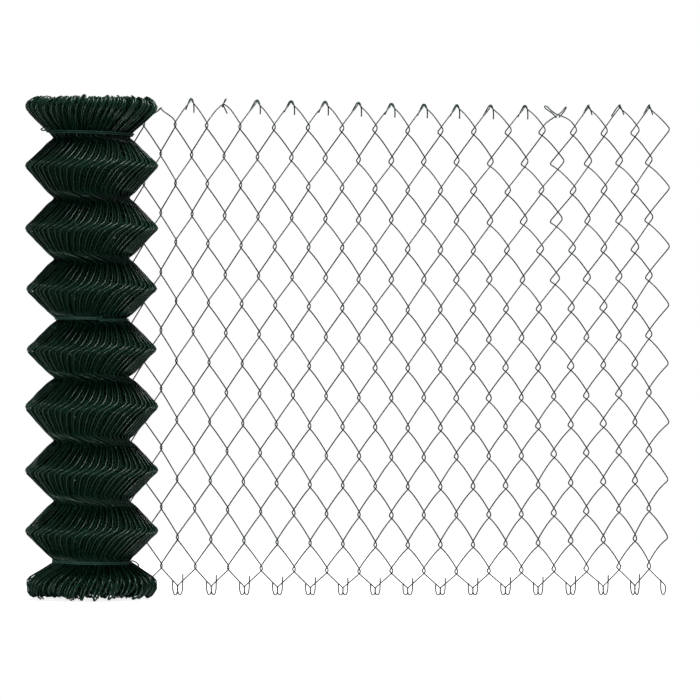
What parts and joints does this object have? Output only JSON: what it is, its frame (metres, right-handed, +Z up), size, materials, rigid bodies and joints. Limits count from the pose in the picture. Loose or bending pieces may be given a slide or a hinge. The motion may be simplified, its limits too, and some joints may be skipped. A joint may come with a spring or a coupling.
{
  "type": "roll of wire fencing",
  "caption": "Compact roll of green plastic-coated chain-link fencing standing on end, held by wire ties, with a length of woven diamond mesh drawn out to one side.",
  "frame": {"origin": "on the axis of the roll's bore, at the level of the floor", "axes": "+Z up along the bore, +X along the loose length, -Y is the front"},
  "size_m": [1.2782, 0.2953, 1],
  "materials": {
    "coated_wire": "dark green semi-gloss plastic coating over galvanised steel wire",
    "tie_wire": "dark green plastic-coated binding wire"
  },
  "bodies": {
    "root": {"rolled_mesh": "coated_wire", "top_tie": "tie_wire", "middle_tie": "tie_wire", "bottom_tie": "tie_wire", "loose_wire_01": "coated_wire", "loose_wire_02": "coated_wire", "loose_wire_03": "coated_wire", "loose_wire_04": "coated_wire", "loose_wire_05": "coated_wire", "loose_wire_06": "coated_wire", "loose_wire_07": "coated_wire", "loose_wire_08": "coated_wire", "loose_wire_09": "coated_wire", "loose_wire_10": "coated_wire", "loose_wire_11": "coated_wire", "loose_wire_12": "coated_wire", "loose_wire_13": "coated_wire", "loose_wire_14": "coated_wire", "loose_wire_15": "coated_wire", "loose_wire_16": "coated_wire", "loose_wire_17": "coated_wire", "loose_wire_18": "coated_wire", "loose_wire_19": "coated_wire", "loose_wire_20": "coated_wire", "loose_wire_21": "coated_wire", "loose_wire_22": "coated_wire", "loose_wire_23": "coated_wire", "loose_wire_24": "coated_wire", "loose_wire_25": "coated_wire", "loose_wire_26": "coated_wire", "loose_wire_27": "coated_wire", "loose_wire_28": "coated_wire", "loose_wire_29": "coated_wire", "loose_wire_30": "coated_wire", "loose_wire_31": "coated_wire", "loose_wire_32": "coated_wire", "loose_wire_33": "coated_wire", "loose_wire_34": "coated_wire"}
  },
  "joints": []
}
